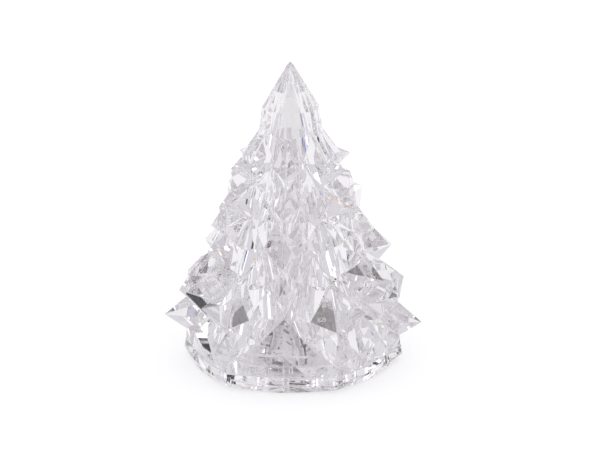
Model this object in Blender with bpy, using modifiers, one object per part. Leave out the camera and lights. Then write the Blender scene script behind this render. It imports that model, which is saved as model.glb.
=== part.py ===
"""Clear faceted tabletop tree: a hollow crystal-cut shade that lifts off a clear base.

The base carries a small light unit: coin cell, twist-out battery door, circuit board,
one LED and a slide switch that is reached from below.

Frame: origin on the table under the tree's axis, +Z up, -Y is the front. The light unit's
switch lies on the +Y side, at the back. Lengths are in metres.
"""

import math

import bmesh
import bpy
from mathutils import Matrix, Vector

MM = 0.001

# Driving dimensions -------------------------------------------------------------------

SEAT_GAP = 0.3 * MM           # air left between pieces that rest on each other
SIDE_GAP = 0.4 * MM           # running clearance round pieces that slide or lift out
SOLDER_GAP = 0.1 * MM         # between small electrical pieces that are soldered together

# Shade
TREE_HEIGHT = 120.0 * MM      # table to the tip
CORE_RADIUS = 34.2 * MM       # radius of the cone that holds the valleys, at the shade's foot
SHADE_WALL = 3.8 * MM         # radial wall between that cone and the hollow inside
TIP_RADIUS = 1.2 * MM         # blunted point of the tree
TIP_DROP = 1.3 * MM           # how far below the top the blunted point begins
HOLLOW_TIP_RADIUS = 0.3 * MM  # blunt end of the hollow
HOLLOW_TIP_DEPTH = 8.0 * MM   # from the top of the tree down to the hollow's end
SYMMETRY = 6                  # kite-shaped cells round the tree
HOLLOW_SIDES = 48
HOLLOW_OVERRUN = 5.0 * MM      # how far the hollow's cutter starts below the shade

# Base
BASE_HEIGHT = 6.4 * MM        # table to the seat that the shade rests on
BASE_RISE = 0.6 * MM          # table to the underside, which stands on its pads
BASE_BULGE_HEIGHT = 2.8 * MM  # table to the widest line of the base's rim
FLOOR_THICKNESS = 2.0 * MM
COLLAR_TOP = 10.0 * MM        # collar that centres the shade
COLLAR_WALL = 2.0 * MM
ROUND_SIDES = 64

# Locating tabs on the base and the notches they fit in the shade
TAB_WIDTH = 6.2 * MM
TAB_RISE = 1.2 * MM
TAB_DEPTH = 3.0 * MM
TAB_EDGE = 0.8 * MM           # material left outside a tab at the rim

# Anti-slip pads
PAD_COUNT = 3
PAD_RADIUS = 3.0 * MM
PAD_THICKNESS = 1.2 * MM
PAD_INSET = 3.4 * MM          # from the base's underside edge to a pad's edge

# Battery and door
CELL_RADIUS = 10.0 * MM
CELL_HEIGHT = 3.2 * MM
CELL_CAP_RADIUS = CELL_RADIUS - 1.2 * MM
CELL_CAP_HEIGHT = 0.4 * MM
CELL_EDGE = 0.2 * MM           # chamfer round the cell's lower edge
CELL_SHOULDER = 0.1 * MM       # slope of the seal round the cell's cap
DOOR_RADIUS = CELL_RADIUS + 1.6 * MM
DOOR_THICKNESS = 2.9 * MM
DOOR_RECESS = 0.2 * MM        # door's face above the base's underside
LUG_COUNT = 3
LUG_REACH = 1.6 * MM          # how far a bayonet lug stands past the door's edge
LUG_ANGLE = 24.0              # degrees of arc that a lug covers
LUG_THICKNESS = 0.8 * MM
DOOR_TURN = 40.0              # degrees from locked to free
LUG_ENTRY_PLAY = 6.0          # degrees by which the entry notches are wider than the lugs
COIN_SLOT = (14.0 * MM, 1.8 * MM, 0.7 * MM)
CONTACT_WIDTH = 4.0 * MM
CONTACT_THICKNESS = 0.3 * MM
MINUS_SOLDERED = (-6.5 * MM, -3.5 * MM)   # ends of the minus contact's flat on the board
MINUS_TOUCHING = (3.0 * MM, 5.0 * MM)     # ends of its flat on the cell
MINUS_TURN_SHARE = 0.55       # its turned-up tip, as a share of the way from cell to board
PLUS_FLAT = 2.0 * MM          # length of the plus contact's flat on the board
PLUS_CLEAR = 1.0 * MM         # how far above the cell's lower face it ends

# Light unit
UNIT_WALL = 1.6 * MM
UNIT_RADIUS = DOOR_RADIUS + LUG_REACH + UNIT_WALL + 2.2 * MM
CONTACT_ROOM = 2.6 * MM        # height between the cell and the board, for the contacts
LEDGE_WIDTH = 1.6 * MM
LEDGE_THICKNESS = 1.0 * MM
CAP_THICKNESS = 1.5 * MM
EAR_RADIUS = 3.0 * MM
EAR_CIRCLE = UNIT_RADIUS + 2.0 * MM
SCREW_COUNT = 3
SCREW_RADIUS = 0.9 * MM
SCREW_HEAD_RADIUS = 1.9 * MM
SCREW_HEAD_HEIGHT = 1.3 * MM
SCREW_SLOT_WIDTH = 0.5 * MM
SCREW_SLOT_SHARE = 1.3        # length of the cross slots as a multiple of the head's radius
SCREW_BITE = 1.4 * MM         # how far a screw goes into the base's floor

BOARD_THICKNESS = 1.2 * MM
LED_RADIUS = 2.5 * MM
LED_FLANGE_RADIUS = 2.9 * MM
LED_FLANGE_HEIGHT = 1.0 * MM
LED_HEIGHT = 8.6 * MM
LEAD_SPACING = 2.54 * MM
LEAD_THICKNESS = 0.5 * MM
LEAD_LENGTH = 2.6 * MM
RESISTOR_SIZE = (3.2 * MM, 1.6 * MM, 0.6 * MM)

# Slide switch
SWITCH_SIZE = (8.5 * MM, 4.4 * MM, 3.6 * MM)
SWITCH_CIRCLE = UNIT_RADIUS + 4.6 * MM  # distance of the switch from the tree's axis
SWITCH_TRAVEL = 2.0 * MM
SWITCH_WALL = 0.6 * MM
KNOB_SIZE = (2.4 * MM, 1.6 * MM)
KNOB_RECESS = 0.5 * MM        # knob's end stays this far above the base's underside
KNOB_FOOT = (3.6 * MM, 2.8 * MM, 1.0 * MM)
TERMINAL_SIZE = (0.9 * MM, 0.4 * MM, 2.4 * MM)
TERMINAL_SPACING = 2.5 * MM
WIRE_RADIUS = 0.45 * MM

# Derived heights ----------------------------------------------------------------------

FLOOR_TOP = BASE_RISE + FLOOR_THICKNESS
SHADE_FOOT = BASE_HEIGHT + SEAT_GAP
UNIT_FOOT = FLOOR_TOP + SEAT_GAP
UNIT_BORE = UNIT_RADIUS - UNIT_WALL
BOARD_RADIUS = UNIT_BORE - SIDE_GAP
DOOR_FOOT = BASE_RISE + DOOR_RECESS
DOOR_TOP = DOOR_FOOT + DOOR_THICKNESS
CELL_FOOT = DOOR_TOP + SEAT_GAP
CELL_TOP = CELL_FOOT + CELL_HEIGHT
BOARD_FOOT = CELL_TOP + CONTACT_ROOM
BOARD_TOP = BOARD_FOOT + BOARD_THICKNESS
LEDGE_TOP = BOARD_FOOT - SEAT_GAP
UNIT_TOP = BOARD_TOP + SEAT_GAP
CAP_FOOT = UNIT_TOP + SEAT_GAP
CAP_TOP = CAP_FOOT + CAP_THICKNESS
LED_FOOT = BOARD_TOP + SEAT_GAP
LED_TOP = LED_FOOT + LED_HEIGHT
DOOR_HOLE = DOOR_RADIUS + SIDE_GAP
SCREW_HOLE = SCREW_RADIUS + SEAT_GAP
SWITCH_FOOT = FLOOR_TOP + SEAT_GAP
SWITCH_TOP = SWITCH_FOOT + SWITCH_SIZE[2]


def core_radius(height):
    """Radius of the cone on which the valleys between the teeth lie."""
    return CORE_RADIUS * (TREE_HEIGHT - height) / (TREE_HEIGHT - SHADE_FOOT)


def hollow_radius(height):
    """Radius of the cone inside the shade: one wall in from the valleys at the foot, and
    with a thinner wall towards its tip."""
    foot_reach = CORE_RADIUS - SHADE_WALL
    top = TREE_HEIGHT - HOLLOW_TIP_DEPTH
    share = (top - height) / (top - SHADE_FOOT)
    return HOLLOW_TIP_RADIUS + share * (foot_reach - HOLLOW_TIP_RADIUS)


COLLAR_RADIUS = hollow_radius(COLLAR_TOP) - SIDE_GAP

# The shade's cut: three kinds of vertical line repeat round the tree. Each point gives how
# far up the shade it lies (0 at the foot, 1 at the tip) and its radius as a multiple of the
# core cone's there: 1 is a valley, and anything well above it is the point of a tooth.
RIDGE_LINE = (
    (0.000, 1.130), (0.087, 1.320), (0.172, 1.000), (0.298, 1.800), (0.368, 1.640),
    (0.448, 1.540), (0.527, 1.870), (0.585, 1.070), (0.653, 2.130), (0.680, 1.760),
    (0.760, 1.560), (0.845, 2.100),
)
BETWEEN_LINE = (
    (0.000, 1.160), (0.101, 1.080), (0.213, 1.650), (0.278, 0.960), (0.417, 1.440),
    (0.479, 0.970), (0.560, 1.560), (0.625, 0.990), (0.675, 1.740), (0.762, 1.520),
    (0.845, 2.080),
)
TOOTH_LINE = (
    (0.000, 1.240), (0.032, 1.270), (0.083, 1.620), (0.155, 1.440), (0.300, 1.500),
    (0.373, 0.970), (0.414, 1.580), (0.505, 1.480), (0.576, 1.680), (0.622, 1.760),
    (0.670, 0.975), (0.765, 1.510), (0.845, 2.060),
)

# The rim of the base: radius past the shade's foot on the same three lines, at the
# underside, at the widest line and at the seat.
RIM_RIDGE = (0.6 * MM, 0.8 * MM, 0.0)
RIM_BETWEEN = (-0.6 * MM, 0.6 * MM, 0.0)
RIM_TOOTH = (-2.0 * MM, 0.7 * MM, 0.1 * MM)


# Scene and helpers --------------------------------------------------------------------

def clear_scene():
    for item in list(bpy.data.objects):
        bpy.data.objects.remove(item, do_unlink=True)


def new_collection(name):
    group = bpy.data.collections.new(name)
    bpy.context.scene.collection.children.link(group)
    return group


clear_scene()
PARTS = new_collection("clear_tabletop_tree")
CUTTERS = new_collection("cutters")


def material(name, colour, roughness, metallic=0.0, transmission=0.0):
    finish = bpy.data.materials.new(name)
    finish.use_nodes = True
    shader = finish.node_tree.nodes["Principled BSDF"]
    shader.inputs["Base Color"].default_value = (*colour, 1.0)
    shader.inputs["Roughness"].default_value = roughness
    shader.inputs["Metallic"].default_value = metallic
    shader.inputs["Transmission Weight"].default_value = transmission
    finish.diffuse_color = (*colour, 1.0)
    return finish


CLEAR = material("clear_plastic", (0.86, 0.85, 0.89), 0.03, transmission=1.0)
LED_RESIN = material("led_resin", (0.96, 0.93, 0.80), 0.08, transmission=0.8)
BOARD_WHITE = material("board_white", (0.86, 0.87, 0.85), 0.5)
STEEL = material("nickel_steel", (0.72, 0.72, 0.72), 0.25, metallic=1.0)
DARK = material("black_plastic", (0.05, 0.05, 0.055), 0.4)
PAD_RUBBER = material("pad_rubber", (0.80, 0.80, 0.80), 0.6)
RED_WIRE = material("red_insulation", (0.55, 0.05, 0.05), 0.4)
BLACK_WIRE = material("black_insulation", (0.04, 0.04, 0.04), 0.4)


def add_object(name, mesh, finish=None):
    """Link a mesh as a part, or as a cutter when it has no finish."""
    item = bpy.data.objects.new(name, mesh)
    if finish is None:
        CUTTERS.objects.link(item)
        item.hide_render = True
        item.display_type = "WIRE"
    else:
        PARTS.objects.link(item)
        mesh.materials.append(finish)
    return item


def mesh_from(name, build):
    mesh = bpy.data.meshes.new(name)
    shape = bmesh.new()
    build(shape)
    shape.to_mesh(mesh)
    shape.free()
    return mesh


def cylinder(name, radius, low, high, centre=(0.0, 0.0), finish=None, sides=ROUND_SIDES,
             top_radius=None):
    """Upright cylinder or cone frustum between two heights."""
    def build(shape):
        bmesh.ops.create_cone(
            shape, cap_ends=True, segments=sides, radius1=radius,
            radius2=radius if top_radius is None else top_radius, depth=high - low,
            matrix=Matrix.Translation((*centre, (low + high) / 2)))
    return add_object(name, mesh_from(name, build), finish)


def block(name, size, low, centre=(0.0, 0.0), finish=None, turn=0.0):
    """Box of a given size, standing on a height and turned about its own upright axis."""
    def build(shape):
        place = Matrix.Translation((*centre, low + size[2] / 2)) @ Matrix.Rotation(turn, 4, "Z")
        bmesh.ops.create_cube(shape, size=1.0, matrix=place @ Matrix.Diagonal((*size, 1.0)))
    return add_object(name, mesh_from(name, build), finish)


def turned(name, profile, finish=None, sides=ROUND_SIDES):
    """Solid of revolution about Z: the profile runs down its outer side and is closed."""
    def build(shape):
        points = [shape.verts.new((radius, 0.0, height)) for radius, height in profile]
        on_axis = profile[0][0] == 0.0
        for first, second in zip(points, points[1:]):
            shape.edges.new((first, second))
        if not on_axis:
            shape.edges.new((points[-1], points[0]))
    item = add_object(name, mesh_from(name, build), finish)
    screw = item.modifiers.new("turn", "SCREW")
    screw.axis = "Z"
    screw.steps = sides
    screw.render_steps = sides
    screw.use_merge_vertices = True
    screw.merge_threshold = 0.00001
    return item


def boolean(target, cutter, operation):
    step = target.modifiers.new(cutter.name, "BOOLEAN")
    step.operation = operation
    step.solver = "EXACT"
    step.object = cutter


def cut(target, cutter):
    boolean(target, cutter, "DIFFERENCE")


def join(target, cutter):
    boolean(target, cutter, "UNION")


def polar(radius, angle):
    """Point on a circle; angle 0 is the front, -Y, and it grows towards +X."""
    return (radius * math.sin(angle), -radius * math.cos(angle))


def round_the_tree(count, start=0.0):
    return [start + 2 * math.pi * k / count for k in range(count)]


# Shade --------------------------------------------------------------------------------

def column_points(line):
    """Radius and height of each point on one of the shade's vertical lines."""
    points = []
    for share, reach in line:
        height = SHADE_FOOT + share * (TREE_HEIGHT - SHADE_FOOT)
        points.append((reach * core_radius(height), height))
    points.append((TIP_RADIUS, TREE_HEIGHT - TIP_DROP))
    return points


def zip_columns(shape, left, right):
    """Fill the strip between two neighbouring lines with flat triangular facets."""
    low, high = 0, 0
    while low < len(left) - 1 or high < len(right) - 1:
        left_next = left[low + 1] if low < len(left) - 1 else None
        right_next = right[high + 1] if high < len(right) - 1 else None
        if right_next is None:
            climb_left = True
        elif left_next is None:
            climb_left = False
        else:
            climb_left = ((left_next.co - right[high].co).length
                          < (right_next.co - left[low].co).length)
        if climb_left:
            shape.faces.new((left[low], right[high], left_next))
            low += 1
        else:
            shape.faces.new((left[low], right[high], right_next))
            high += 1


def line_order():
    """The three kinds of line in their order round one sixth of the tree."""
    return (RIDGE_LINE, BETWEEN_LINE, TOOTH_LINE, BETWEEN_LINE)


def build_shade_skin(shape):
    lines = line_order()
    total = SYMMETRY * len(lines)
    columns = []
    for index, angle in enumerate(round_the_tree(total)):
        points = column_points(lines[index % len(lines)])
        columns.append([shape.verts.new((*polar(radius, angle), height))
                        for radius, height in points])
    for index in range(total):
        zip_columns(shape, columns[index], columns[(index + 1) % total])
    shape.faces.new([column[0] for column in reversed(columns)])
    crown = shape.verts.new((0.0, 0.0, TREE_HEIGHT))
    for index in range(total):
        shape.faces.new((columns[index][-1], columns[(index + 1) % total][-1], crown))
    bmesh.ops.recalc_face_normals(shape, faces=shape.faces)


def tab_circle():
    """Distance of the tabs' middle from the axis, at the shade's foot."""
    return foot_radius(RIDGE_LINE) - TAB_EDGE - TAB_DEPTH / 2


def foot_radius(line):
    return line[0][1] * core_radius(SHADE_FOOT)


def make_shade():
    shade = add_object("tree_shade", mesh_from("tree_shade", build_shade_skin), CLEAR)
    hollow_foot = SHADE_FOOT - HOLLOW_OVERRUN
    hollow_top = TREE_HEIGHT - HOLLOW_TIP_DEPTH
    cut(shade, cylinder("shade_hollow", hollow_radius(hollow_foot), hollow_foot, hollow_top,
                        sides=HOLLOW_SIDES, top_radius=HOLLOW_TIP_RADIUS))
    notch = (TAB_WIDTH + 2 * SEAT_GAP, TAB_DEPTH + 2 * SEAT_GAP, 2 * TAB_RISE)
    for index, angle in enumerate(round_the_tree(SYMMETRY)):
        cut(shade, block(f"notch_cut_{index}", notch, SHADE_FOOT - TAB_RISE,
                         polar(tab_circle(), angle), turn=angle))
    return shade


# Base ---------------------------------------------------------------------------------

def build_rim(shape):
    """Solid slab with the base's many-sided rim."""
    lines = line_order()
    rims = (RIM_RIDGE, RIM_BETWEEN, RIM_TOOTH, RIM_BETWEEN)
    levels = (BASE_RISE, BASE_BULGE_HEIGHT, BASE_HEIGHT)
    total = SYMMETRY * len(rims)
    rings = []
    for level, height in enumerate(levels):
        ring = []
        for index, angle in enumerate(round_the_tree(total)):
            kind = index % len(rims)
            radius = foot_radius(lines[kind]) + rims[kind][level]
            ring.append(shape.verts.new((*polar(radius, angle), height)))
        rings.append(ring)
    for lower, upper in zip(rings, rings[1:]):
        for index in range(total):
            following = (index + 1) % total
            shape.faces.new((lower[index], lower[following], upper[following], upper[index]))
    shape.faces.new(list(reversed(rings[0])))
    shape.faces.new(rings[-1])
    bmesh.ops.triangulate(shape, faces=[face for face in shape.faces if len(face.verts) == 4])
    bmesh.ops.recalc_face_normals(shape, faces=shape.faces)


def screw_angles():
    return round_the_tree(SCREW_COUNT, start=0.0)


def pad_angles():
    return round_the_tree(PAD_COUNT, start=math.pi / SYMMETRY)


def pad_circle():
    """Radius of the circle the pads lie on, in from the base's underside edge."""
    return foot_radius(TOOTH_LINE) + RIM_TOOTH[0] - PAD_INSET - PAD_RADIUS


def switch_centre():
    return (0.0, SWITCH_CIRCLE)


def make_base():
    base = add_object("base", mesh_from("base", build_rim), CLEAR)
    join(base, cylinder("collar_add", COLLAR_RADIUS, FLOOR_TOP, COLLAR_TOP))
    cut(base, cylinder("well_cut", COLLAR_RADIUS - COLLAR_WALL, FLOOR_TOP, COLLAR_TOP + MM))
    for index, angle in enumerate(round_the_tree(SYMMETRY)):
        join(base, block(f"tab_add_{index}", (TAB_WIDTH, TAB_DEPTH, TAB_RISE + MM),
                         BASE_HEIGHT - MM, polar(tab_circle(), angle), turn=angle))
    cut(base, cylinder("door_hole_cut", DOOR_HOLE, 0.0, FLOOR_TOP + MM))
    for index, angle in enumerate(lug_angles(DOOR_TURN)):
        cut(base, arc_block(f"lug_entry_cut_{index}", DOOR_HOLE - MM,
                            DOOR_RADIUS + LUG_REACH + SIDE_GAP, 0.0, FLOOR_TOP + MM, angle,
                            LUG_ANGLE + LUG_ENTRY_PLAY))
    for index, angle in enumerate(screw_angles()):
        cut(base, cylinder(f"base_screw_hole_cut_{index}", SCREW_HOLE,
                           FLOOR_TOP - SCREW_BITE - SEAT_GAP, FLOOR_TOP + MM,
                           polar(EAR_CIRCLE, angle), sides=16))
    knob_window = (KNOB_SIZE[0] + SWITCH_TRAVEL + 2 * SIDE_GAP, KNOB_SIZE[1] + 2 * SIDE_GAP,
                   FLOOR_THICKNESS + 2 * MM)
    cut(base, block("switch_window_cut", knob_window, BASE_RISE - MM, switch_centre()))
    for index, angle in enumerate(pad_angles()):
        cut(base, cylinder(f"pad_recess_cut_{index}", PAD_RADIUS + SEAT_GAP, 0.0,
                           PAD_THICKNESS + SEAT_GAP, polar(pad_circle(), angle), sides=32))
    return base


def make_pads():
    for index, angle in enumerate(pad_angles()):
        cylinder(f"foot_pad_{index + 1}", PAD_RADIUS, 0.0, PAD_THICKNESS,
                 polar(pad_circle(), angle), PAD_RUBBER, sides=32)


# Battery door -------------------------------------------------------------------------

def lug_angles(turn_degrees=0.0):
    return round_the_tree(LUG_COUNT, start=math.pi / 3 + math.radians(turn_degrees))


def arc_block(name, inner, outer, low, high, middle, spread_degrees, finish=None, steps=6):
    """Sector of a ring between two radii, centred on an angle."""
    def build(shape):
        spread = math.radians(spread_degrees)
        angles = [middle - spread / 2 + spread * k / steps for k in range(steps + 1)]
        outline = [polar(outer, angle) for angle in angles]
        outline += [polar(inner, angle) for angle in reversed(angles)]
        base_ring = [shape.verts.new((x, y, low)) for x, y in outline]
        face = shape.faces.new(base_ring)
        lifted = bmesh.ops.extrude_face_region(shape, geom=[face])["geom"]
        tops = [item for item in lifted if isinstance(item, bmesh.types.BMVert)]
        bmesh.ops.translate(shape, verts=tops, vec=(0.0, 0.0, high - low))
        bmesh.ops.recalc_face_normals(shape, faces=shape.faces)
    return add_object(name, mesh_from(name, build), finish)


def make_battery_door():
    door = cylinder("battery_door", DOOR_RADIUS, DOOR_FOOT, DOOR_TOP, finish=CLEAR)
    lug_foot = FLOOR_TOP + SEAT_GAP
    for index, angle in enumerate(lug_angles()):
        join(door, arc_block(f"lug_add_{index}", DOOR_RADIUS - MM, DOOR_RADIUS + LUG_REACH,
                             lug_foot, lug_foot + LUG_THICKNESS, angle, LUG_ANGLE))
    slot_length, slot_width, slot_depth = COIN_SLOT
    cut(door, block("coin_slot_cut", (slot_length, slot_width, 2 * slot_depth),
                    DOOR_FOOT - slot_depth))
    return door


def make_cell():
    cap_foot = CELL_TOP - CELL_CAP_HEIGHT
    turned("coin_cell", (
        (0.0, CELL_TOP), (CELL_CAP_RADIUS, CELL_TOP), (CELL_CAP_RADIUS, cap_foot),
        (CELL_RADIUS, cap_foot - CELL_SHOULDER), (CELL_RADIUS, CELL_FOOT + CELL_EDGE),
        (CELL_RADIUS - CELL_EDGE, CELL_FOOT), (0.0, CELL_FOOT)), STEEL)


# Light unit ---------------------------------------------------------------------------

def unit_ears(target, prefix, low, high):
    """Give a round piece of the light unit its three screw ears, with their holes."""
    for index, angle in enumerate(screw_angles()):
        join(target, cylinder(f"{prefix}_ear_add_{index}", EAR_RADIUS, low, high,
                              polar(EAR_CIRCLE, angle), sides=24))
    for index, angle in enumerate(screw_angles()):
        cut(target, cylinder(f"{prefix}_ear_hole_cut_{index}", SCREW_HOLE, low - MM, high + MM,
                             polar(EAR_CIRCLE, angle), sides=16))


def wire_height():
    """Height at which the switch's wires pass through the unit's wall, under the ledge."""
    return LEDGE_TOP - LEDGE_THICKNESS - LEDGE_WIDTH / 2 - SIDE_GAP - WIRE_RADIUS


def wire_lanes():
    return {"wire_red": -TERMINAL_SPACING / 2, "wire_black": TERMINAL_SPACING / 2}


def make_unit_body():
    ledge = UNIT_BORE - LEDGE_WIDTH
    ledge_foot = LEDGE_TOP - LEDGE_THICKNESS
    body = turned("unit_body", (
        (UNIT_RADIUS, UNIT_TOP), (UNIT_RADIUS, UNIT_FOOT), (UNIT_BORE, UNIT_FOOT),
        (UNIT_BORE, ledge_foot - LEDGE_WIDTH / 2), (ledge, ledge_foot), (ledge, LEDGE_TOP),
        (UNIT_BORE, LEDGE_TOP), (UNIT_BORE, UNIT_TOP)), CLEAR)
    unit_ears(body, "body", UNIT_FOOT, UNIT_TOP)
    wall_middle = (UNIT_RADIUS + UNIT_BORE) / 2
    for name, lane in wire_lanes().items():
        opening = 2 * (WIRE_RADIUS + SEAT_GAP)
        cut(body, block(f"{name}_port_cut", (opening, 3 * UNIT_WALL, opening),
                        wire_height() - opening / 2, (lane, wall_middle)))


def make_unit_cap():
    cap = cylinder("unit_cap", UNIT_RADIUS, CAP_FOOT, CAP_TOP, finish=CLEAR)
    unit_ears(cap, "cap", CAP_FOOT, CAP_TOP)
    cut(cap, cylinder("led_hole_cut", LED_FLANGE_RADIUS + SIDE_GAP, CAP_FOOT - MM, CAP_TOP + MM,
                      sides=32))


def make_unit_screws():
    head_foot = CAP_TOP + SEAT_GAP
    head_top = head_foot + SCREW_HEAD_HEIGHT
    for index, angle in enumerate(screw_angles()):
        centre = polar(EAR_CIRCLE, angle)
        screw = cylinder(f"unit_screw_{index + 1}", SCREW_RADIUS, FLOOR_TOP - SCREW_BITE,
                         head_foot + SCREW_HEAD_HEIGHT / 2, centre, STEEL, sides=16)
        join(screw, cylinder(f"screw_head_add_{index}", SCREW_HEAD_RADIUS, head_foot, head_top,
                             centre, sides=24))
        for turn in (0.0, math.pi / 2):
            cut(screw, block(f"screw_cross_cut_{index}",
                             (SCREW_SLOT_SHARE * SCREW_HEAD_RADIUS, SCREW_SLOT_WIDTH,
                              SCREW_HEAD_HEIGHT),
                             head_top - SCREW_HEAD_HEIGHT / 2, centre, turn=turn))


def lead_positions():
    return (-LEAD_SPACING / 2, LEAD_SPACING / 2)


def make_board():
    board = cylinder("circuit_board", BOARD_RADIUS, BOARD_FOOT, BOARD_TOP, finish=BOARD_WHITE)
    for index, across in enumerate(lead_positions()):
        side = LEAD_THICKNESS + 2 * SEAT_GAP
        cut(board, block(f"lead_hole_cut_{index}", (side, side, 2 * BOARD_THICKNESS),
                         BOARD_FOOT - BOARD_THICKNESS / 2, (across, 0.0)))
    block("resistor", RESISTOR_SIZE, BOARD_FOOT - SOLDER_GAP - RESISTOR_SIZE[2],
          (0.0, -BOARD_RADIUS / 2), DARK)


def make_led():
    dome_centre = LED_TOP - LED_RADIUS
    dome_steps = 8
    dome = [(LED_RADIUS * math.sin(math.pi / 2 * k / dome_steps),
             dome_centre + LED_RADIUS * math.cos(math.pi / 2 * k / dome_steps))
            for k in range(dome_steps + 1)]
    flange_top = LED_FOOT + LED_FLANGE_HEIGHT
    turned("led", (*dome, (LED_RADIUS, flange_top), (LED_FLANGE_RADIUS, flange_top),
                   (LED_FLANGE_RADIUS, LED_FOOT), (0.0, LED_FOOT)), LED_RESIN, sides=32)
    for name, across in zip(("led_lead_long", "led_lead_short"), lead_positions()):
        block(name, (LEAD_THICKNESS, LEAD_THICKNESS, LEAD_LENGTH),
              LED_FOOT - SOLDER_GAP - LEAD_LENGTH, (across, 0.0), STEEL)


def ribbon(name, path, width, centre_y, finish):
    """Sheet-metal strip: a path in the XZ plane, widened along Y and thickened."""
    def build(shape):
        rows = [[shape.verts.new((x, centre_y + side * width / 2, height)) for x, height in path]
                for side in (-1, 1)]
        for index in range(len(path) - 1):
            shape.faces.new((rows[0][index], rows[0][index + 1],
                             rows[1][index + 1], rows[1][index]))
    strip = add_object(name, mesh_from(name, build), finish)
    sheet = strip.modifiers.new("sheet", "SOLIDIFY")
    sheet.thickness = CONTACT_THICKNESS
    sheet.offset = 0.0


def make_contacts():
    under_board = BOARD_FOOT - SOLDER_GAP - CONTACT_THICKNESS
    on_cell = CELL_TOP + SEAT_GAP + CONTACT_THICKNESS / 2
    turn_up = MINUS_TURN_SHARE * (under_board - on_cell)
    ribbon("contact_minus", ((MINUS_SOLDERED[0], under_board), (MINUS_SOLDERED[1], under_board),
                             (MINUS_TOUCHING[0], on_cell), (MINUS_TOUCHING[1], on_cell),
                             (MINUS_TOUCHING[1] + turn_up, on_cell + turn_up)),
           CONTACT_WIDTH, CONTACT_WIDTH, STEEL)
    beside_cell = CELL_RADIUS + SEAT_GAP + CONTACT_THICKNESS
    ribbon("contact_plus", ((beside_cell - PLUS_FLAT, under_board), (beside_cell, under_board),
                            (beside_cell, CELL_FOOT + PLUS_CLEAR)), CONTACT_WIDTH, -CONTACT_WIDTH / 2,
           STEEL)


# Slide switch -------------------------------------------------------------------------

def make_switch():
    length, width, height = SWITCH_SIZE
    case = block("switch_case", SWITCH_SIZE, SWITCH_FOOT, switch_centre(), STEEL)
    cut(case, block("switch_case_hollow_cut",
                    (length - 2 * SWITCH_WALL, width - 2 * SWITCH_WALL, height),
                    SWITCH_FOOT - SWITCH_WALL, switch_centre()))
    knob_x = switch_centre()[0] - SWITCH_TRAVEL / 2
    knob_centre = (knob_x, switch_centre()[1])
    stem_foot = BASE_RISE + KNOB_RECESS
    knob = block("switch_knob", KNOB_FOOT, SWITCH_FOOT, knob_centre, DARK)
    join(knob, block("knob_stem_add", (*KNOB_SIZE, SWITCH_FOOT + KNOB_FOOT[2] / 2 - stem_foot),
                     stem_foot, knob_centre))
    for name, lane in wire_lanes().items():
        block(name.replace("wire", "switch_terminal"), TERMINAL_SIZE, SWITCH_TOP + SOLDER_GAP,
              (lane, switch_centre()[1]), STEEL)


def smooth_path(points, samples):
    """Points along a Catmull-Rom curve through the given ones."""
    padded = [2 * points[0] - points[1], *points, 2 * points[-1] - points[-2]]
    path = []
    for before, start, end, after in zip(padded, padded[1:], padded[2:], padded[3:]):
        for step in range(samples):
            t = step / samples
            path.append(0.5 * (2 * start + (end - before) * t
                               + (2 * before - 5 * start + 4 * end - after) * t ** 2
                               + (3 * start - before - 3 * end + after) * t ** 3))
    path.append(points[-1])
    return path


def make_wires():
    """Two short wires: switch terminal, through the unit's wall, up to the board."""
    finishes = {"wire_red": RED_WIRE, "wire_black": BLACK_WIRE}
    beside = TERMINAL_SIZE[1] / 2 + WIRE_RADIUS + SEAT_GAP
    inner = UNIT_BORE - LEDGE_WIDTH - WIRE_RADIUS - 2 * SIDE_GAP
    low = wire_height()
    case_edge = switch_centre()[1] - SWITCH_SIZE[1] / 2
    over_case = SWITCH_TOP + WIRE_RADIUS + SIDE_GAP
    for name, lane in wire_lanes().items():
        start_y = switch_centre()[1] - beside
        route = [Vector((lane, start_y, SWITCH_TOP + TERMINAL_SIZE[2])),
                 Vector((lane, start_y, SWITCH_TOP + TERMINAL_SIZE[2] / 2)),
                 Vector((lane, case_edge, over_case)),
                 Vector((lane, UNIT_RADIUS + MM, low)),
                 Vector((lane, UNIT_BORE - MM, low)),
                 Vector((lane, inner, low + MM)),
                 Vector((lane, inner, BOARD_FOOT - SEAT_GAP))]
        curve = bpy.data.curves.new(name, "CURVE")
        curve.dimensions = "3D"
        curve.bevel_depth = WIRE_RADIUS
        curve.bevel_resolution = 2
        curve.use_fill_caps = True
        path = smooth_path(route, 5)
        spline = curve.splines.new("POLY")
        spline.points.add(len(path) - 1)
        for point, place in zip(spline.points, path):
            point.co = (*place, 1.0)
        wire = bpy.data.objects.new(name, curve)
        curve.materials.append(finishes[name])
        PARTS.objects.link(wire)


def shade_round_pieces():
    """Smooth shading on the turned pieces; the cut shade and the blocks stay flat."""
    for name in ("coin_cell", "led", "unit_body"):
        for face in bpy.data.objects[name].data.polygons:
            face.use_smooth = True


make_shade()
make_base()
make_pads()
make_battery_door()
make_cell()
make_unit_body()
make_unit_cap()
make_unit_screws()
make_board()
make_led()
make_contacts()
make_switch()
make_wires()
shade_round_pieces()
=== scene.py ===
"""Clear faceted tabletop tree with its lift-off shade and the small light unit in its base."""

import math

import bmesh
import bpy
from mathutils import Matrix, Vector


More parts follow.
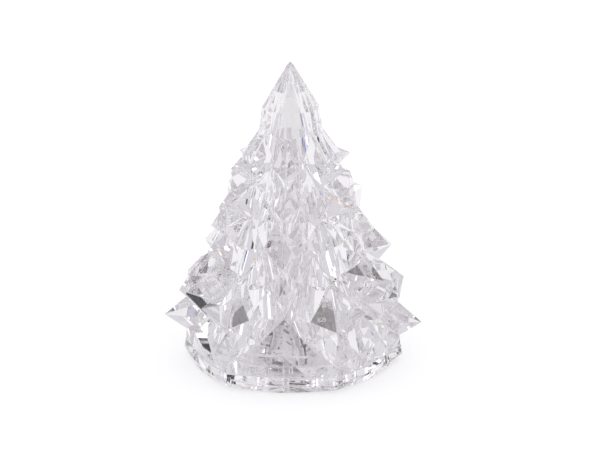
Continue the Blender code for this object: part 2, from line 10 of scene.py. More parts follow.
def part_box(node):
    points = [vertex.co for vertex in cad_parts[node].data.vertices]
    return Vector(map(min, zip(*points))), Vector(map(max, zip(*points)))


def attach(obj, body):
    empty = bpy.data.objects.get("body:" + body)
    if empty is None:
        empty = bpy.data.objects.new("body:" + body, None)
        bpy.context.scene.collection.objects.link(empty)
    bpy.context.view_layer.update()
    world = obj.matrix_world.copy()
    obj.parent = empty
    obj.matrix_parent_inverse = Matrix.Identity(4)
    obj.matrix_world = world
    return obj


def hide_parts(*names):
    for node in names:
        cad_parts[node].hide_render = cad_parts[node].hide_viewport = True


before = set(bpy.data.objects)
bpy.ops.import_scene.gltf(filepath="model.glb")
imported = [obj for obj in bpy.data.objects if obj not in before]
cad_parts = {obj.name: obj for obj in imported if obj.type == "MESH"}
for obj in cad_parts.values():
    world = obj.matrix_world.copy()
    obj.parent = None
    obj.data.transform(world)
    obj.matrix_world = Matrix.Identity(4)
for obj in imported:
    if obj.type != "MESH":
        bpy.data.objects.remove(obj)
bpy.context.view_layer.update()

# Camera -------------------------------------------------------------------------------
# A long lens a little under a metre off, looking down by nearly 19 degrees and a few
# degrees round from the front valley of the lowest row.
CAMERA_AT = Vector((0.1022, -0.9115, 0.3633))
CAMERA_TARGET = Vector((0.0032, 0.0003, 0.0546))
CAMERA_ROLL = math.radians(-0.45)
CAMERA_LENS_MM = 150.0
SENSOR_MM = 36.0


def show(item):
    """Put an object in the scene."""
    bpy.context.scene.collection.objects.link(item)
    return item


camera_data = bpy.data.cameras.new("camera")
camera_data.lens = CAMERA_LENS_MM
camera_data.sensor_width = SENSOR_MM
camera = show(bpy.data.objects.new("camera", camera_data))
aim = (CAMERA_TARGET - CAMERA_AT).to_track_quat("-Z", "Y").to_matrix().to_4x4()
camera.matrix_world = (Matrix.Translation(CAMERA_AT) @ aim
                       @ Matrix.Rotation(CAMERA_ROLL, 4, "Z"))
bpy.context.scene.camera = camera


# Light tent and floor -----------------------------------------------------------------
# An even pale tent with six bright panels round it. Each panel has a narrow dark flag
# above and below, whose edges are tinted as a prism tints them. The floor is a light
# table: a pale translucent sheet lit from below, which keeps a clear object bright.
WHITE = (1.0, 0.995, 1.01)
TENT_GREY = 0.80
TENT_CAST = (1.0, 0.985, 1.035)
PANEL_GLOW = 1.9
FLOOR_LIGHT = 1.25
PANEL_COUNT = 6.0
PANEL_SHIFT = 0.2
PANEL_WIDTH = 0.17
PANEL_EDGE = 0.012
PANEL_WHITE = (1.0, 0.995, 1.0)
FLAG_BLACK = (0.008, 0.008, 0.011)
FLAG_BLUE = (0.06, 0.13, 0.60)
FLAG_ORANGE = (0.90, 0.42, 0.12)
LOW_FLAG = (0.13, 0.175)
HIGH_FLAG = (0.50, 0.545)
FRINGE = 0.013
FLOOR_RADIUS = 4.0
FLOOR_GLOW = 0.66
FLOOR_PAINT = 0.34


def node(tree, kind, inputs=(), **settings):
    """Add a node, set its attributes, and link or set the listed input sockets."""
    made = tree.nodes.new(kind)
    for key, value in settings.items():
        setattr(made, key, value)
    for socket, value in dict(inputs).items():
        if isinstance(value, bpy.types.NodeSocket):
            tree.links.new(value, made.inputs[socket])
        else:
            made.inputs[socket].default_value = value
    return made


def calculate(tree, operation, first, second=0.0):
    return node(tree, "ShaderNodeMath", {0: first, 1: second}, operation=operation).outputs[0]


def blend_colour(tree, factor, first, second):
    return node(tree, "ShaderNodeMix", {"Factor": factor, 6: first, 7: second},
                data_type="RGBA").outputs[2]


def ramp(tree, factor, stops):
    """Colour ramp whose stops are (place, colour) or (place, grey)."""
    made = node(tree, "ShaderNodeValToRGB", {0: factor})
    band = made.color_ramp
    while len(band.elements) > 1:
        band.elements.remove(band.elements[-1])
    for index, (place, colour) in enumerate(stops):
        stop = band.elements[0] if index == 0 else band.elements.new(place)
        stop.position = place
        stop.color = (*colour, 1.0) if isinstance(colour, tuple) else (colour,) * 3 + (1.0,)
    return made.outputs[0]


world = bpy.data.worlds.new("light_tent")
bpy.context.scene.world = world
world.use_nodes = True
sky = world.node_tree
sky.nodes.clear()
direction = node(sky, "ShaderNodeSeparateXYZ",
                 {0: node(sky, "ShaderNodeTexCoord").outputs["Generated"]}).outputs
around = calculate(sky, "DIVIDE", calculate(sky, "ARCTAN2", direction[1], direction[0]),
                   2 * math.pi)
place_round = calculate(sky, "FRACT", calculate(
    sky, "ADD", calculate(sky, "MULTIPLY", around, PANEL_COUNT), PANEL_SHIFT + PANEL_COUNT))
panel_start, panel_end = 0.5 - PANEL_WIDTH / 2, 0.5 + PANEL_WIDTH / 2
panel_mask = ramp(sky, place_round, (
    (0.0, 0.0), (panel_start - PANEL_EDGE, 0.0), (panel_start, 1.0), (panel_end, 1.0),
    (panel_end + PANEL_EDGE, 0.0)))
grey = tuple(TENT_GREY / PANEL_GLOW * share for share in TENT_CAST)
panel_column = ramp(sky, direction[2], (
    (0.0, grey), (LOW_FLAG[0], grey), (LOW_FLAG[0] + FRINGE, FLAG_BLACK),
    (LOW_FLAG[1], FLAG_BLACK), (LOW_FLAG[1] + FRINGE, FLAG_BLUE),
    (LOW_FLAG[1] + 2 * FRINGE, PANEL_WHITE), (HIGH_FLAG[0], PANEL_WHITE),
    (HIGH_FLAG[0] + FRINGE, FLAG_ORANGE), (HIGH_FLAG[0] + 2 * FRINGE, FLAG_BLACK),
    (HIGH_FLAG[1], FLAG_BLACK), (HIGH_FLAG[1] + 2 * FRINGE, grey)))
tent = blend_colour(sky, panel_mask, (*grey, 1.0), panel_column)
path = node(sky, "ShaderNodeLightPath").outputs
plain = calculate(sky, "MINIMUM",
                  calculate(sky, "ADD", path["Is Camera Ray"], path["Diffuse Depth"]), 1.0)
strength = calculate(sky, "ADD", calculate(sky, "MULTIPLY", plain, FLOOR_LIGHT - PANEL_GLOW),
                     PANEL_GLOW)
sky_light = node(sky, "ShaderNodeBackground",
                 {"Color": blend_colour(sky, plain, tent, (*WHITE, 1.0)),
                  "Strength": strength})
node(sky, "ShaderNodeOutputWorld", {"Surface": sky_light.outputs[0]})

floor_mesh = bpy.data.meshes.new("floor")
floor_shape = bmesh.new()
bmesh.ops.create_circle(floor_shape, cap_ends=True, segments=64, radius=FLOOR_RADIUS)
floor_shape.to_mesh(floor_mesh)
floor_shape.free()
floor_sheet = bpy.data.materials.new("floor_sheet")
floor_sheet.use_nodes = True
floor_shader = floor_sheet.node_tree.nodes["Principled BSDF"].inputs
floor_shader["Base Color"].default_value = (FLOOR_PAINT, FLOOR_PAINT, FLOOR_PAINT, 1.0)
floor_shader["Roughness"].default_value = 0.8
floor_shader["Specular IOR Level"].default_value = 0.0
floor_shader["Emission Color"].default_value = (*WHITE, 1.0)
floor_shader["Emission Strength"].default_value = FLOOR_GLOW
floor_mesh.materials.append(floor_sheet)
show(bpy.data.objects.new("floor", floor_mesh))

bpy.context.scene.view_settings.view_transform = "Standard"
bpy.context.scene.cycles.max_bounces = 28
bpy.context.scene.cycles.transmission_bounces = 28
bpy.context.scene.cycles.glossy_bounces = 16
bpy.context.scene.cycles.use_denoising = True


# Shade --------------------------------------------------------------------------------
# One hollow moulding in clear styrene, cut like crystal into pointed kite-shaped cells,
# six round the tree. It drops over the base's collar and lifts straight off.
MM = 0.001
TREE_TOP = 120.0 * MM
FOOT = 6.7 * MM
CORE_RADIUS = 34.2 * MM
TIP_RADIUS = 1.2 * MM
TIP_DROP = 1.3 * MM
CELLS_ROUND = 6
HOLLOW_FOOT_RADIUS = 30.4 * MM
HOLLOW_TIP_RADIUS = 0.3 * MM
HOLLOW_TIP_DEPTH = 8.0 * MM
HOLLOW_OVERRUN = 5.0 * MM
HOLLOW_SIDES = 96
NOTCH = (6.8 * MM, 3.6 * MM, 2.4 * MM)
NOTCH_INSET = 2.3 * MM
EDGE_ROUNDING = 0.18 * MM
STYRENE_TINT = (0.860, 0.849, 0.858)
STYRENE_IOR = 1.52
RIDGE_LINE = (
    (0.000, 1.130), (0.087, 1.320), (0.172, 1.000), (0.298, 1.800), (0.368, 1.640),
    (0.448, 1.540), (0.527, 1.870), (0.585, 1.070), (0.653, 2.130), (0.680, 1.760),
    (0.760, 1.560), (0.845, 2.100))
BETWEEN_LINE = (
    (0.000, 1.160), (0.101, 1.080), (0.213, 1.650), (0.278, 0.960), (0.417, 1.440),
    (0.479, 0.970), (0.560, 1.560), (0.625, 0.990), (0.675, 1.740), (0.762, 1.520),
    (0.845, 2.080))
TOOTH_LINE = (
    (0.000, 1.240), (0.032, 1.270), (0.083, 1.620), (0.155, 1.440), (0.300, 1.500),
    (0.373, 0.970), (0.414, 1.580), (0.505, 1.480), (0.576, 1.680), (0.622, 1.760),
    (0.670, 0.975), (0.765, 1.510), (0.845, 2.060))


def clear_plastic(name, tint, ior, roughness):
    """Polished clear moulding: faint flow waviness and a trace of uneven polish."""
    finish = bpy.data.materials.new(name)
    finish.use_nodes = True
    tree = finish.node_tree
    where = node(tree, "ShaderNodeTexCoord").outputs["Object"]
    flow = node(tree, "ShaderNodeTexNoise", {"Vector": where, "Scale": 55.0, "Detail": 2.0})
    polish = node(tree, "ShaderNodeTexNoise", {"Vector": where, "Scale": 320.0})
    shader = tree.nodes["Principled BSDF"]
    wave = node(tree, "ShaderNodeBump", {"Height": flow.outputs["Fac"], "Strength": 0.12,
                                         "Distance": 0.0006})
    tree.links.new(wave.outputs[0], shader.inputs["Normal"])
    tree.links.new(ramp(tree, polish.outputs["Fac"],
                        ((0.35, roughness), (0.75, roughness + 0.025))),
                   shader.inputs["Roughness"])
    shader.inputs["Base Color"].default_value = (*tint, 1.0)
    shader.inputs["Transmission Weight"].default_value = 1.0
    shader.inputs["IOR"].default_value = ior
    return finish


def polar(radius, angle, height=0.0):
    """Point on a circle; angle 0 is the front, -Y, and it grows towards +X."""
    return Vector((radius * math.sin(angle), -radius * math.cos(angle), height))


def core_radius(height):
    return CORE_RADIUS * (TREE_TOP - height) / (TREE_TOP - FOOT)


def mesh_of(name, build):
    mesh = bpy.data.meshes.new(name)
    shape = bmesh.new()
    build(shape)
    shape.to_mesh(mesh)
    shape.free()
    return mesh


def build_cut_sixth(shape):
    """One sixth of the cut, with its share of the foot and of the point."""
    lines = (RIDGE_LINE, BETWEEN_LINE, TOOTH_LINE, BETWEEN_LINE, RIDGE_LINE)
    columns = []
    for index, line in enumerate(lines):
        angle = 2 * math.pi * index / (CELLS_ROUND * (len(lines) - 1))
        heights = [FOOT + share * (TREE_TOP - FOOT) for share, _ in line]
        column = [polar(reach * core_radius(height), angle, height)
                  for height, (_, reach) in zip(heights, line)]
        column.append(polar(TIP_RADIUS, angle, TREE_TOP - TIP_DROP))
        columns.append([shape.verts.new(point) for point in column])
    middle = shape.verts.new((0.0, 0.0, FOOT))
    crown = shape.verts.new((0.0, 0.0, TREE_TOP))
    for left, right in zip(columns, columns[1:]):
        low, high = 0, 0
        while low < len(left) - 1 or high < len(right) - 1:
            climb_left = high == len(right) - 1 or (low < len(left) - 1 and (
                (left[low + 1].co - right[high].co).length
                < (right[high + 1].co - left[low].co).length))
            if climb_left:
                shape.faces.new((left[low], right[high], left[low + 1]))
                low += 1
            else:
                shape.faces.new((left[low], right[high], right[high + 1]))
                high += 1
        shape.faces.new((left[0], middle, right[0]))
        shape.faces.new((left[-1], right[-1], crown))


def named_inputs(tree, sizes):
    """Give a geometry tree its mesh input and named sizes; returns its two end nodes."""
    tree.interface.new_socket("Geometry", in_out="INPUT", socket_type="NodeSocketGeometry")
    for name, kind in sizes:
        tree.interface.new_socket(name, in_out="INPUT", socket_type=kind)
    tree.interface.new_socket("Geometry", in_out="OUTPUT", socket_type="NodeSocketGeometry")
    return node(tree, "NodeGroupInput").outputs, node(tree, "NodeGroupOutput")


def ring_tree(name):
    """Geometry tree: copies of the input mesh, evenly round the tree's axis."""
    tree = bpy.data.node_groups.new(name, "GeometryNodeTree")
    given, end = named_inputs(tree, (
        ("Count", "NodeSocketInt"), ("Start Angle", "NodeSocketFloat"),
        ("Merge Distance", "NodeSocketFloat"), ("Material", "NodeSocketMaterial")))
    spots = node(tree, "GeometryNodePoints", {"Count": given["Count"]}).outputs[0]
    index = node(tree, "GeometryNodeInputIndex").outputs[0]
    step = calculate(tree, "DIVIDE", 2 * math.pi, given["Count"])
    turn = calculate(tree, "ADD", calculate(tree, "MULTIPLY", index, step),
                     given["Start Angle"])
    facing = node(tree, "ShaderNodeCombineXYZ", {"Z": turn}).outputs[0]
    copies = node(tree, "GeometryNodeInstanceOnPoints",
                  {"Points": spots, "Instance": given["Geometry"], "Rotation": facing})
    real = node(tree, "GeometryNodeRealizeInstances", {0: copies.outputs[0]})
    joined = node(tree, "GeometryNodeMergeByDistance",
                  {"Geometry": real.outputs[0], "Distance": given["Merge Distance"]})
    painted = node(tree, "GeometryNodeSetMaterial",
                   {"Geometry": joined.outputs[0], "Material": given["Material"]})
    tree.links.new(painted.outputs[0], end.inputs[0])
    return tree


RING_TREE = ring_tree("evenly_round_the_axis")


def made_plain(item):
    """Turn an object with modifiers into a plain mesh."""
    bpy.context.view_layer.update()
    plain_mesh = bpy.data.meshes.new_from_object(
        item.evaluated_get(bpy.context.evaluated_depsgraph_get()))
    item.modifiers.clear()
    item.data = plain_mesh
    return item


def all_in(item, finish):
    """Give every face of an object one finish."""
    item.data.materials.clear()
    item.data.materials.append(finish)
    for face in item.data.polygons:
        face.material_index = 0
    return item


def repeated_round(name, mesh, count, finish, start=0.0, merge=0.0):
    """A plain mesh object of copies of one mesh, set evenly round the tree's axis."""
    item = show(bpy.data.objects.new(name, mesh))
    ring = item.modifiers.new("ring", "NODES")
    ring.node_group = RING_TREE
    values = {"Count": count, "Start Angle": start, "Merge Distance": merge,
              "Material": finish}
    for socket in RING_TREE.interface.items_tree:
        if socket.in_out == "INPUT" and socket.name in values:
            ring[socket.identifier] = values[socket.name]
    return all_in(made_plain(item), finish)


def belongs(item, body, slot, *replaced):
    """Ride on a CAD body and stand for CAD nodes, which it hides; the slot argument is not
    used.
    """
    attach(item, body)
    if replaced:
        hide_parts(*replaced)
    return item


def hollow_radius(height):
    share = (TREE_TOP - HOLLOW_TIP_DEPTH - height) / (TREE_TOP - HOLLOW_TIP_DEPTH - FOOT)
    return HOLLOW_TIP_RADIUS + share * (HOLLOW_FOOT_RADIUS - HOLLOW_TIP_RADIUS)


def cone_mesh(name, low_radius, high_radius, low, high, sides):
    return mesh_of(name, lambda shape: bmesh.ops.create_cone(
        shape, cap_ends=True, segments=sides, radius1=low_radius, radius2=high_radius,
        depth=high - low, matrix=Matrix.Translation((0.0, 0.0, (low + high) / 2))
        @ Matrix.Rotation(math.pi / sides, 4, "Z")))


def block_mesh(name, size, low, centre=(0.0, 0.0), turn=0.0):
    place = Matrix.Translation((*centre, low + size[2] / 2)) @ Matrix.Rotation(turn, 4, "Z")
    return mesh_of(name, lambda shape: bmesh.ops.create_cube(
        shape, size=1.0, matrix=place @ Matrix.Diagonal((*size, 1.0))))


def cut_away(item, *meshes):
    """Cut tool meshes out of an object and leave it a plain mesh."""
    tools = [show(bpy.data.objects.new("tool", mesh)) for mesh in meshes]
    for tool in tools:
        step = item.modifiers.new("cut", "BOOLEAN")
        step.operation = "DIFFERENCE"
        step.solver = "EXACT"
        step.object = tool
    made_plain(item)
    for tool in tools:
        bpy.data.objects.remove(tool)
    return item


def soften_edges(item, width, angle=12.0, segments=2):
    """Round the crisp edges of a moulding, keeping its flat faces flat."""
    edge = item.modifiers.new("edge", "BEVEL")
    edge.width = width
    edge.segments = segments
    edge.limit_method = "ANGLE"
    edge.angle_limit = math.radians(angle)
    edge.harden_normals = True
    return item


def smooth_where(mesh, smooth_edge):
    """Smooth shading, with every edge sharp except those that smooth_edge picks."""
    shape = bmesh.new()
    shape.from_mesh(mesh)
    for face in shape.faces:
        face.smooth = True
    for edge in shape.edges:
        edge.smooth = smooth_edge(edge)
    shape.to_mesh(mesh)
    shape.free()


def on_hollow(edge):
    return all(abs(Vector(v.co[:2]).length - hollow_radius(v.co.z)) < 0.15 * MM
               for v in edge.verts)


SHADE_STYRENE = clear_plastic("shade_styrene", STYRENE_TINT, STYRENE_IOR, 0.0)
shade = repeated_round("shade", mesh_of("cut_sixth", build_cut_sixth), CELLS_ROUND,
                       SHADE_STYRENE, merge=0.005 * MM)
notch_circle = RIDGE_LINE[0][1] * core_radius(FOOT) - NOTCH_INSET
notches = [block_mesh("notch", NOTCH, FOOT - NOTCH[2] / 2,
                      polar(notch_circle, 2 * math.pi * k / CELLS_ROUND)[:2],
                      2 * math.pi * k / CELLS_ROUND) for k in range(CELLS_ROUND)]
hollow = cone_mesh("hollow", hollow_radius(FOOT - HOLLOW_OVERRUN), HOLLOW_TIP_RADIUS,
                   FOOT - HOLLOW_OVERRUN, TREE_TOP - HOLLOW_TIP_DEPTH, HOLLOW_SIDES)
all_in(cut_away(shade, hollow, *notches), SHADE_STYRENE)
smooth_where(shade.data, on_hollow)
belongs(soften_edges(shade, EDGE_ROUNDING), "shade", "clear_shade", "tree_shade")


# Base ---------------------------------------------------------------------------------
# Clear moulded tray under the shade: rounded rim, floor, centring collar and six tabs
# that stop the shade turning. The same styrene, with rounder edges.
BASE_ROUNDING = 0.7 * MM
BASE_TINT = (0.950, 0.940, 0.950)


def cad_copy(name, cad_name, finish):
    """A copy of a CAD piece, with its doubles merged and its flat faces whole."""
    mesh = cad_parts[cad_name].data.copy()
    mesh.materials.clear()
    mesh.materials.append(finish)
    shape = bmesh.new()
    shape.from_mesh(mesh)
    bmesh.ops.remove_doubles(shape, verts=shape.verts, dist=0.004 * MM)
    bmesh.ops.dissolve_limit(shape, angle_limit=math.radians(0.4), verts=shape.verts,
                             edges=shape.edges)
    for face in shape.faces:
        face.material_index = 0
        face.smooth = True
    for edge in shape.edges:
        edge.smooth = edge.calc_face_angle(math.pi) < math.radians(30.0)
    shape.to_mesh(mesh)
    shape.free()
    return show(bpy.data.objects.new(name, mesh))


BASE_STYRENE = clear_plastic("base_styrene", BASE_TINT, STYRENE_IOR, 0.0)
base = soften_edges(cad_copy("base_tray", "base", BASE_STYRENE), BASE_ROUNDING, 25.0, 3)
belongs(base, "base", "clear_base", "base")


# Anti-slip pads -----------------------------------------------------------------------
# Three small domed discs of translucent soft rubber, pressed into recesses under the
# base near its rim. The whole object stands on them.
PAD_COUNT = 3
PAD_LOW, PAD_HIGH = (Vector(corner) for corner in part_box("foot_pad_1"))
PAD_CENTRE = (PAD_LOW + PAD_HIGH) / 2
PAD_PROFILE = ((0.0, 0.0), (2.1, 0.0), (2.55, 0.08), (2.85, 0.28), (3.0, 0.6), (3.0, 1.12),
               (2.92, 1.2), (0.0, 1.2))
PAD_SIDES = 40
PAD_TRANSLUCENCE = 0.5


def solid_lathe(profile, sides, centre=(0.0, 0.0), foot=0.0):
    """Closed solid of revolution; the profile runs from the axis round to the axis."""
    def build(shape):
        rings = []
        for radius, height in profile:
            if radius == 0.0:
                rings.append([shape.verts.new((*centre, foot + height * MM))])
                continue
            rings.append([shape.verts.new((
                centre[0] + radius * MM * math.cos(2 * math.pi * k / sides),
                centre[1] + radius * MM * math.sin(2 * math.pi * k / sides),
                foot + height * MM)) for k in range(sides)])
        for lower, upper in zip(rings, rings[1:]):
            for k in range(sides):
                corners = [lower[k % len(lower)], lower[(k + 1) % sides % len(lower)],
                           upper[(k + 1) % sides % len(upper)], upper[k % len(upper)]]
                face = shape.faces.new(list(dict.fromkeys(corners)))
                face.smooth = True
        bmesh.ops.recalc_face_normals(shape, faces=shape.faces)
    return build


def shade_by_angle(mesh, degrees=35.0):
    shape = bmesh.new()
    shape.from_mesh(mesh)
    for face in shape.faces:
        face.smooth = True
    for edge in shape.edges:
        edge.smooth = edge.calc_face_angle(math.pi) < math.radians(degrees)
    shape.to_mesh(mesh)
    shape.free()
    return mesh


GRAIN_DEPTH = 0.02 * MM
TONE_SPREAD = 0.08


def plain_finish(name, colour, roughness, metallic=0.0, grain=400.0):
    """Opaque finish with a fine surface grain and slightly uneven polish."""
    finish = bpy.data.materials.new(name)
    finish.use_nodes = True
    tree = finish.node_tree
    shader = tree.nodes["Principled BSDF"]
    where = node(tree, "ShaderNodeTexCoord").outputs["Object"]
    fine = node(tree, "ShaderNodeTexNoise", {"Vector": where, "Scale": grain, "Detail": 4.0})
    broad = node(tree, "ShaderNodeTexNoise", {"Vector": where, "Scale": grain / 8})
    darker = tuple(channel * (1 - TONE_SPREAD) for channel in colour)
    tree.links.new(ramp(tree, broad.outputs["Fac"], ((0.3, darker), (0.7, colour))),
                   shader.inputs["Base Color"])
    tree.links.new(ramp(tree, fine.outputs["Fac"],
                        ((0.3, roughness), (0.7, min(1.0, roughness + 0.12)))),
                   shader.inputs["Roughness"])
    bump = node(tree, "ShaderNodeBump", {"Height": fine.outputs["Fac"], "Strength": 0.3,
                                         "Distance": GRAIN_DEPTH})
    tree.links.new(bump.outputs[0], shader.inputs["Normal"])
    shader.inputs["Metallic"].default_value = metallic
    return finish


PAD_RUBBER = plain_finish("pad_rubber", (0.82, 0.82, 0.83), 0.45, grain=900.0)
rubber_shader = PAD_RUBBER.node_tree.nodes["Principled BSDF"].inputs
rubber_shader["Transmission Weight"].default_value = PAD_TRANSLUCENCE
pad_radius = math.hypot(PAD_CENTRE.x, PAD_CENTRE.y)
pad_start = math.atan2(PAD_CENTRE.x, -PAD_CENTRE.y)
pad_mesh = shade_by_angle(mesh_of("pad", solid_lathe(PAD_PROFILE, PAD_SIDES,
                                                     polar(pad_radius, 0.0)[:2])))
pads = repeated_round("anti_slip_pads", pad_mesh, PAD_COUNT, PAD_RUBBER, pad_start)
belongs(pads, "base", "pad_rubber", "foot_pad_1", "foot_pad_2", "foot_pad_3")

# Battery door -------------------------------------------------------------------------
# Clear moulded door under the base, with three bayonet lugs and a slot for a coin. A part
# of a turn frees it, so that the cell can be changed.
door = soften_edges(cad_copy("door", "battery_door", BASE_STYRENE), 0.2 * MM, 25.0, 3)
belongs(door, "door", "clear_base", "battery_door")

# Coin cell ----------------------------------------------------------------------------
# Nickel-plated lithium cell, 20 mm across: a drawn can crimped over a seal round its
# smaller cap. It lies loose on the door, between the contacts.
CELL_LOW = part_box("coin_cell")[0]
CELL_PROFILE = (
    (0.0, 0.0), (9.3, 0.0), (9.7, 0.06), (9.94, 0.28), (10.0, 0.6), (10.0, 2.45),
    (9.88, 2.68), (9.5, 2.78), (9.25, 2.70), (9.15, 2.62), (8.95, 2.62), (8.8, 2.80),
    (8.78, 3.02), (8.6, 3.16), (8.2, 3.2), (0.0, 3.2))
CELL_SIDES = 96
NICKEL = plain_finish("nickel_plate", (0.86, 0.86, 0.85), 0.18, metallic=1.0, grain=700.0)
cell = show(bpy.data.objects.new("cell", shade_by_angle(
    mesh_of("cell", solid_lathe(CELL_PROFILE, CELL_SIDES, foot=CELL_LOW[2])), 50.0)))
cell.data.materials.append(NICKEL)
belongs(cell, "base", "nickel_steel", "coin_cell")

# Contacts -----------------------------------------------------------------------------
# Two strips of plated spring steel soldered under the board; one presses on the cell's
# cap and one on its side.
for cad_name in ("contact_plus", "contact_minus"):
    strip = soften_edges(cad_copy(f"{cad_name}_strip", cad_name, NICKEL), 0.06 * MM, 30.0)
    belongs(strip, "base", "nickel_steel", cad_name)

# Light unit's housing -----------------------------------------------------------------
# A clear moulded ring with an inner ledge for the board and three screw ears, and the
# flat lid over it. Both are the same styrene as the base.
for name, cad_name in (("unit_ring", "unit_body"), ("unit_lid", "unit_cap")):
    housing = soften_edges(cad_copy(name, cad_name, BASE_STYRENE), 0.18 * MM, 28.0, 2)
    belongs(housing, "base", "clear_base", cad_name)

# Screws -------------------------------------------------------------------------------
# Three plated pan-head screws with a cross recess and a rolled thread, through the lid
# and the ring's ears into the base's floor.
SCREW_COUNT = 3
SCREW_LOW, SCREW_HIGH = (Vector(corner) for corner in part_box("unit_screw_1"))
SCREW_CIRCLE = -(SCREW_LOW.y + SCREW_HIGH.y) / 2
HEAD_RADIUS = (SCREW_HIGH.x - SCREW_LOW.x) / 2
HEAD_HEIGHT = 1.3 * MM
SHANK_RADIUS = 0.9 * MM
THREAD_DEPTH = 0.16 * MM
THREAD_PITCH = 0.8 * MM
THREAD_STEPS = 8
THREAD_SIDES = 24
RECESS = (2.4 * MM, 0.5 * MM, 1.3 * MM)


def build_screw(shape):
    """Threaded shank under a domed head, on the front of the screw circle."""
    centre = polar(SCREW_CIRCLE, 0.0)
    head_foot = SCREW_HIGH.z - HEAD_HEIGHT
    rows = int((head_foot - SCREW_LOW.z) / THREAD_PITCH * THREAD_STEPS)
    levels = []
    for row in range(rows + 1):
        height = SCREW_LOW.z + (head_foot - SCREW_LOW.z) * row / rows
        ring = []
        for k in range(THREAD_SIDES):
            phase = (height / THREAD_PITCH - k / THREAD_SIDES) % 1.0
            depth = THREAD_DEPTH * abs(2 * phase - 1) * (1 if 0 < row < rows else 0)
            ring.append((SHANK_RADIUS - depth, 2 * math.pi * k / THREAD_SIDES, height))
        levels.append(ring)
    dome = ((1.0, 0.0), (1.0, 0.30), (0.94, 0.62), (0.78, 0.85), (0.52, 0.97), (0.3, 1.0))
    for share, rise in dome:
        levels.append([(HEAD_RADIUS * share, 2 * math.pi * k / THREAD_SIDES,
                        head_foot + rise * HEAD_HEIGHT) for k in range(THREAD_SIDES)])
    rings = [[shape.verts.new((centre.x + radius * math.cos(angle),
                               centre.y + radius * math.sin(angle), height))
              for radius, angle, height in level] for level in levels]
    for lower, upper in zip(rings, rings[1:]):
        for k in range(THREAD_SIDES):
            after = (k + 1) % THREAD_SIDES
            shape.faces.new((lower[k], lower[after], upper[after], upper[k]))
    shape.faces.new(list(reversed(rings[0])))
    shape.faces.new(rings[-1])
    bmesh.ops.recalc_face_normals(shape, faces=shape.faces)


one_screw = show(bpy.data.objects.new("one_screw", mesh_of("screw", build_screw)))
recess_foot = SCREW_HIGH.z - RECESS[2] * 0.55
cut_away(one_screw, *[block_mesh("recess", RECESS, recess_foot,
                                 polar(SCREW_CIRCLE, 0.0)[:2], turn)
                      for turn in (0.0, math.pi / 2)])
screws = repeated_round("screws", shade_by_angle(one_screw.data), SCREW_COUNT, NICKEL)
bpy.data.objects.remove(one_screw)
belongs(screws, "base", "nickel_steel", "unit_screw_1", "unit_screw_2", "unit_screw_3")

# Circuit board ------------------------------------------------------------------------
# Round glass-fibre board with white solder mask, tinned rings round the lead holes and
# small solder cones on their undersides.
BOARD_WHITE = plain_finish("board_mask", (0.88, 0.89, 0.87), 0.35, grain=1200.0)
SOLDER = plain_finish("solder", (0.78, 0.78, 0.80), 0.22, metallic=1.0, grain=900.0)
RING_PROFILE = ((0.62, 0.0), (1.05, 0.0), (1.05, 0.05), (0.62, 0.05))
JOINT_PROFILE = ((0.45, 0.0), (0.95, 0.0), (0.72, -0.12), (0.55, -0.34), (0.45, -0.62))
RING_SIDES = 32
board = soften_edges(cad_copy("board", "circuit_board", BOARD_WHITE), 0.08 * MM, 40.0)
belongs(board, "base", "board", "circuit_board")


def ring_lathe(profile, sides, centre, foot):
    """Closed ring: a profile off the axis, turned about its own centre."""
    def build(shape):
        rings = [[shape.verts.new((
            centre[0] + radius * MM * math.cos(2 * math.pi * k / sides),
            centre[1] + radius * MM * math.sin(2 * math.pi * k / sides),
            foot + height * MM)) for k in range(sides)] for radius, height in profile]
        for first, second in zip(rings, rings[1:] + rings[:1]):
            for k in range(sides):
                after = (k + 1) % sides
                shape.faces.new((first[k], first[after], second[after], second[k]))
        bmesh.ops.recalc_face_normals(shape, faces=shape.faces)
    return build


BOARD_LOW, BOARD_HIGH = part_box("circuit_board")
for lead in ("led_lead_long", "led_lead_short"):
    low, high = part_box(lead)
    centre = ((low[0] + high[0]) / 2, (low[1] + high[1]) / 2)
    for part, profile, foot in (("ring", RING_PROFILE, BOARD_HIGH[2]),
                                ("joint", JOINT_PROFILE, BOARD_LOW[2])):
        tinned = show(bpy.data.objects.new(f"{lead}_{part}", shade_by_angle(mesh_of(
            part, ring_lathe(profile, RING_SIDES, centre, foot)))))
        tinned.data.materials.append(SOLDER)
        belongs(tinned, "base", "nickel_steel")
    pin = soften_edges(cad_copy(f"{lead}_pin", lead, NICKEL), 0.05 * MM, 40.0)
    belongs(pin, "base", "nickel_steel", lead)

# LED ----------------------------------------------------------------------------------
# Clear 5 mm epoxy lens with a flange, over a small reflector cup filled with warm
# phosphor.
LED_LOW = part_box("led")[0]
LED_SIDES = 48
LENS_STEPS = 10
LENS = [(2.5 * math.cos(math.pi / 2 * k / LENS_STEPS),
         6.1 + 2.5 * math.sin(math.pi / 2 * k / LENS_STEPS)) for k in range(LENS_STEPS)]
LED_PROFILE = ((0.0, 0.0), (2.8, 0.0), (2.9, 0.1), (2.9, 0.9), (2.82, 1.0), (2.5, 1.0),
               *LENS, (0.0, 8.6))
CUP_PROFILE = ((0.0, 2.2), (0.55, 2.2), (0.75, 2.9), (0.95, 3.7), (0.88, 3.7), (0.0, 3.45))
PHOSPHOR_PROFILE = ((0.0, 3.47), (0.84, 3.72), (0.7, 3.86), (0.4, 3.95), (0.0, 3.98))
EPOXY = clear_plastic("led_epoxy", (0.985, 0.975, 0.94), 1.53, 0.0)
PHOSPHOR = plain_finish("phosphor", (0.95, 0.80, 0.30), 0.6, grain=1500.0)
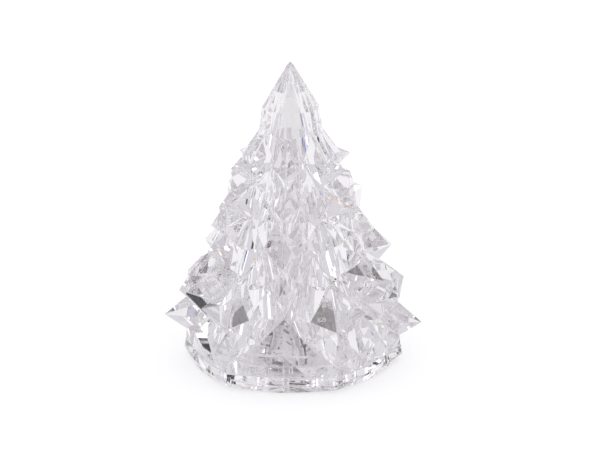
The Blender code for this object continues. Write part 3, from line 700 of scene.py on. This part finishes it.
for name, profile, finish, stands_for in (
        ("led_lens", LED_PROFILE, EPOXY, ("led",)),
        ("led_cup", CUP_PROFILE, NICKEL, ()),
        ("led_phosphor", PHOSPHOR_PROFILE, PHOSPHOR, ())):
    turned = show(bpy.data.objects.new(name, shade_by_angle(
        mesh_of(name, solid_lathe(profile, LED_SIDES, foot=LED_LOW[2])))))
    turned.data.materials.append(finish)
    belongs(turned, "base", "led_resin" if stands_for else "nickel_steel", *stands_for)

# Resistor -----------------------------------------------------------------------------
# Surface-mounted chip that limits the LED's current: a dark ceramic body with a tinned
# cap on each end, soldered under the board.
CHIP_BLACK = plain_finish("chip_black", (0.05, 0.05, 0.055), 0.4, grain=1500.0)
chip = soften_edges(cad_copy("chip", "resistor", CHIP_BLACK), 0.07 * MM, 40.0)
belongs(chip, "base", "black_plastic", "resistor")
CHIP_LOW, CHIP_HIGH = (Vector(corner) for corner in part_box("resistor"))
CAP_LENGTH = 0.5 * MM
CAP_PROUD = 0.03 * MM
for side, inner in (("left", CHIP_LOW.x), ("right", CHIP_HIGH.x - CAP_LENGTH)):
    size = (CAP_LENGTH + CAP_PROUD, CHIP_HIGH.y - CHIP_LOW.y + 2 * CAP_PROUD,
            CHIP_HIGH.z - CHIP_LOW.z + 2 * CAP_PROUD)
    cap = show(bpy.data.objects.new(f"chip_cap_{side}", block_mesh(
        "chip_cap", size, CHIP_LOW.z - CAP_PROUD,
        (inner + CAP_LENGTH / 2, (CHIP_LOW.y + CHIP_HIGH.y) / 2))))
    cap.data.materials.append(SOLDER)
    belongs(soften_edges(cap, 0.06 * MM, 40.0), "base", "nickel_steel")

# Slide switch -------------------------------------------------------------------------
# Folded, plated steel case with a ribbed black knob that slides in it, and two tinned
# terminals on top. The knob is reached through a window in the base's floor.
RIB_COUNT = 3
switch_case = soften_edges(cad_copy("slide_case", "switch_case", NICKEL), 0.15 * MM, 40.0, 3)
belongs(switch_case, "base", "nickel_steel", "switch_case")
KNOB_BLACK = plain_finish("knob_black", (0.045, 0.045, 0.05), 0.38, grain=1100.0)
knob = cad_copy("slide_knob", "switch_knob", KNOB_BLACK)
KNOB_LOW, KNOB_HIGH = (Vector(corner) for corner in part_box("switch_knob"))
KNOB_FACE = 2.4 * MM
GROOVE = 0.25 * MM
grooves = [block_mesh("groove", (GROOVE, 4 * MM, 2 * GROOVE), KNOB_LOW.z - GROOVE,
                      ((KNOB_LOW.x + KNOB_HIGH.x) / 2 + (k - 1) * KNOB_FACE / 4,
                       (KNOB_LOW.y + KNOB_HIGH.y) / 2)) for k in range(RIB_COUNT)]
all_in(cut_away(knob, *grooves), KNOB_BLACK)
belongs(soften_edges(knob, 0.07 * MM, 40.0), "knob", "black_plastic", "switch_knob")
for cad_name in ("switch_terminal_red", "switch_terminal_black"):
    tag = soften_edges(cad_copy(f"{cad_name}_tag", cad_name, NICKEL), 0.06 * MM, 40.0)
    belongs(tag, "base", "nickel_steel", cad_name)

# Wires --------------------------------------------------------------------------------
# Two short leads in coloured vinyl from the switch to the board. They pass through ports
# in the light unit's wall, which hold them.
for cad_name, slot, colour in (("wire_red", "red_insulation", (0.55, 0.05, 0.05)),
                               ("wire_black", "black_insulation", (0.04, 0.04, 0.04))):
    sleeve = plain_finish(f"{cad_name}_sleeve", colour, 0.35, grain=1300.0)
    belongs(cad_copy(f"{cad_name}_lead", cad_name, sleeve), "base", slot, cad_name)
